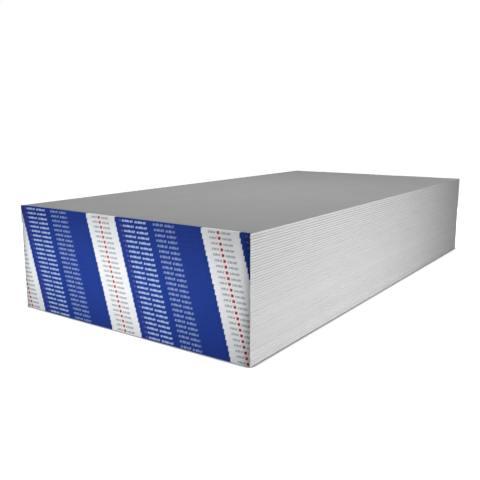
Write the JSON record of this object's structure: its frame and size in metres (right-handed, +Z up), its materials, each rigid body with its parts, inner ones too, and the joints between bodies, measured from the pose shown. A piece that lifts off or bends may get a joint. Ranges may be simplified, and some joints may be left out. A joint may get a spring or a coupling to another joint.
{
  "type": "stack of drywall sheets",
  "caption": "Flat stack of paper-faced gypsum wallboard sheets in face-to-face pairs, each pair bound by a printed paper tape folded over both ends.",
  "frame": {"origin": "middle of the stack's underside, where the lowest tapes rest on the floor", "axes": "+X across the sheets, +Y along the sheets towards the back end, +Z up through the stack"},
  "size_m": [1.22, 2.4402, 0.462],
  "materials": {
    "board_paper": "matt recycled liner paper, ivory round the long edges and grey on the backs",
    "end_tape": "smooth white paper tape printed in blue with white and red marks"
  },
  "bodies": {
    "root": {"sheet_01": "board_paper", "sheet_02": "board_paper", "sheet_03": "board_paper", "sheet_04": "board_paper", "sheet_05": "board_paper", "sheet_06": "board_paper", "sheet_07": "board_paper", "sheet_08": "board_paper", "sheet_09": "board_paper", "sheet_10": "board_paper", "sheet_11": "board_paper", "sheet_12": "board_paper", "sheet_13": "board_paper", "sheet_14": "board_paper", "sheet_15": "board_paper", "sheet_16": "board_paper", "sheet_17": "board_paper", "sheet_18": "board_paper", "sheet_19": "board_paper", "sheet_20": "board_paper", "sheet_21": "board_paper", "sheet_22": "board_paper", "sheet_23": "board_paper", "sheet_24": "board_paper", "sheet_25": "board_paper", "sheet_26": "board_paper", "sheet_27": "board_paper", "sheet_28": "board_paper", "sheet_29": "board_paper", "sheet_30": "board_paper", "sheet_31": "board_paper", "sheet_32": "board_paper", "sheet_33": "board_paper", "sheet_34": "board_paper", "sheet_35": "board_paper", "sheet_36": "board_paper", "sheet_37": "board_paper", "sheet_38": "board_paper", "sheet_39": "board_paper", "sheet_40": "board_paper", "sheet_41": "board_paper", "sheet_42": "board_paper", "sheet_43": "board_paper", "sheet_44": "board_paper", "sheet_45": "board_paper", "sheet_46": "board_paper", "sheet_47": "board_paper", "sheet_48": "board_paper", "front_end_tapes": "end_tape", "back_end_tapes": "end_tape"}
  },
  "joints": []
}
